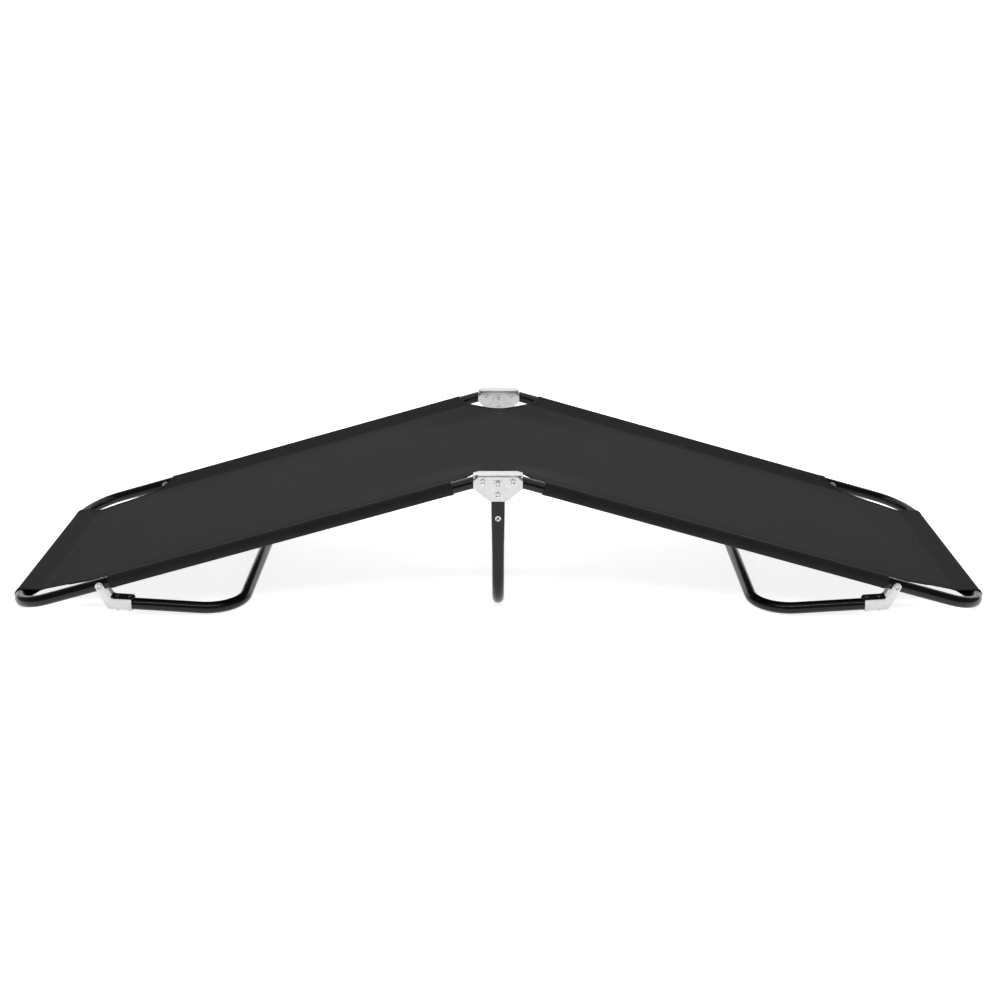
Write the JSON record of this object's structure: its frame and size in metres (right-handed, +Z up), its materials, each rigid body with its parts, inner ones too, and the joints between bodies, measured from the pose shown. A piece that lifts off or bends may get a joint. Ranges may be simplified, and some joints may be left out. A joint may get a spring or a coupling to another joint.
{
  "type": "folding cot",
  "caption": "Folding cot with a bent tube frame hinged in the middle, stretched cloth, a centre leg and swing-out end legs, shown half folded.",
  "frame": {"origin": "middle of the cot on the ground it stands on", "axes": "+X along the bed's length, +Y across it from the front side to the back, +Z up"},
  "size_m": [1.8308, 0.5802, 0.2794],
  "materials": {
    "black_enamel": "gloss black baked enamel on drawn steel tube",
    "zinc_steel": "bright zinc-plated pressed steel sheet",
    "zinc_rivet": "zinc-plated headed steel rivets",
    "woven_polyester": "matte black coated plain-weave polyester",
    "black_rubber": "black rubber strip"
  },
  "bodies": {
    "centre": {"hinge_bracket_front": "zinc_steel", "hinge_bracket_back": "zinc_steel", "centre_leg": "black_enamel", "fabric_centre": "woven_polyester", "hinge_rivet_left_front": "zinc_rivet", "hinge_rivet_right_front": "zinc_rivet", "leg_rivet_upper_front": "zinc_rivet", "leg_rivet_lower_front": "zinc_rivet", "stay_rivet_front": "zinc_rivet", "hinge_rivet_left_back": "zinc_rivet", "hinge_rivet_right_back": "zinc_rivet", "leg_rivet_upper_back": "zinc_rivet", "leg_rivet_lower_back": "zinc_rivet", "stay_rivet_back": "zinc_rivet"},
    "left_half": {"left_frame_tube": "black_enamel", "left_fabric": "woven_polyester"},
    "left_end_leg": {"left_leg_tube": "black_enamel", "left_leg_bracket_front": "zinc_steel", "left_leg_pad_front": "black_rubber", "left_leg_pivot_front": "zinc_rivet", "left_pad_rivet_inner_front": "zinc_rivet", "left_pad_rivet_outer_front": "zinc_rivet", "left_leg_bracket_back": "zinc_steel", "left_leg_pad_back": "black_rubber", "left_leg_pivot_back": "zinc_rivet", "left_pad_rivet_inner_back": "zinc_rivet", "left_pad_rivet_outer_back": "zinc_rivet"},
    "right_half": {"right_frame_tube": "black_enamel", "right_fabric": "woven_polyester"},
    "right_end_leg": {"right_leg_tube": "black_enamel", "right_leg_bracket_front": "zinc_steel", "right_leg_pad_front": "black_rubber", "right_leg_pivot_front": "zinc_rivet", "right_pad_rivet_inner_front": "zinc_rivet", "right_pad_rivet_outer_front": "zinc_rivet", "right_leg_bracket_back": "zinc_steel", "right_leg_pad_back": "black_rubber", "right_leg_pivot_back": "zinc_rivet", "right_pad_rivet_inner_back": "zinc_rivet", "right_pad_rivet_outer_back": "zinc_rivet"}
  },
  "joints": [
    {"name": "left_half_fold", "type": "hinge", "parent": "centre", "child": "left_half", "pos_m": [-0.027, 0, 0.2664], "axis": [0, -1, 0], "range_deg": [-16.16, 55.84]},
    {"name": "left_leg_swing", "type": "hinge", "parent": "left_half", "child": "left_end_leg", "pos_m": [-0.73006, 0, 0.06261], "axis": [0, -1, 0], "range_deg": [-71.08, 19.92]},
    {"name": "right_half_fold", "type": "hinge", "parent": "centre", "child": "right_half", "pos_m": [0.027, 0, 0.2664], "axis": [0, 1, 0], "range_deg": [-16.16, 55.84]},
    {"name": "right_leg_swing", "type": "hinge", "parent": "right_half", "child": "right_end_leg", "pos_m": [0.73006, 0, 0.06261], "axis": [0, 1, 0], "range_deg": [-71.08, 19.92]}
  ]
}
